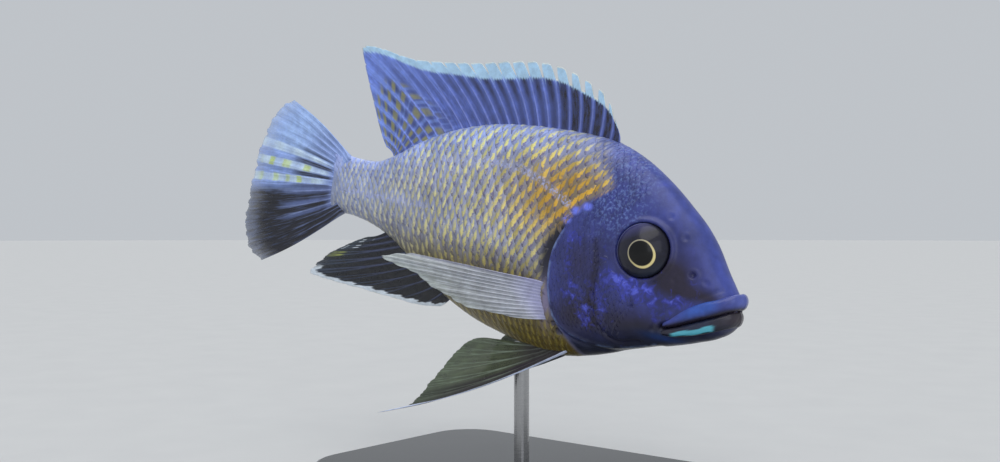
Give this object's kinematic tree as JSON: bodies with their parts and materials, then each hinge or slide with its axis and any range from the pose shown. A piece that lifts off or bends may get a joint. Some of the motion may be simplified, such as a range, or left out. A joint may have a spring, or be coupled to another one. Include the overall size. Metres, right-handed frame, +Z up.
{
  "type": "peacock cichlid model on a stand",
  "caption": "Life-size still model of a male peacock cichlid with spread fins, held nose down on a rod over a flat display base.",
  "frame": {"origin": "middle of the underside of the stand's base", "axes": "+X towards the fish's head, +Y to its left, +Z up"},
  "size_m": [0.1257, 0.052, 0.0922],
  "materials": {
    "blue_head_skin": "moist fish skin, deep violet blue with ultramarine spots, satin gloss",
    "lip_skin": "smooth bright blue lip, moist gloss",
    "eye": "clear glossy eye, black pupil in a thin gold ring on a charcoal iris",
    "scaled_flank": "fine scales, slate blue with a gold bar on each, satin gloss",
    "blue_fin": "thin rayed fin web, lilac blue with a white edge, slightly translucent",
    "black_fin": "thin rayed fin web, smoky black with a pale edge, slightly translucent",
    "pale_fin": "thin clear fin web with fine grey rays",
    "stand_base": "black acrylic block, polished",
    "stand_rod": "turned stainless steel rod, satin"
  },
  "bodies": {
    "root": {"head": "blue_head_skin", "lower_jaw": "blue_head_skin", "gill_cover_right": "blue_head_skin", "gill_cover_left": "blue_head_skin", "upper_lip": "lip_skin", "lower_lip": "lip_skin", "eye_right": "eye", "eye_left": "eye", "torso": "scaled_flank", "tail_stalk": "scaled_flank", "dorsal_fin": "blue_fin", "caudal_fin": "blue_fin", "anal_fin": "black_fin", "pelvic_fin_right": "black_fin", "pelvic_fin_left": "black_fin", "pectoral_fin_right": "pale_fin", "pectoral_fin_left": "pale_fin", "stand_base": "stand_base", "stand_rod": "stand_rod"}
  },
  "joints": []
}
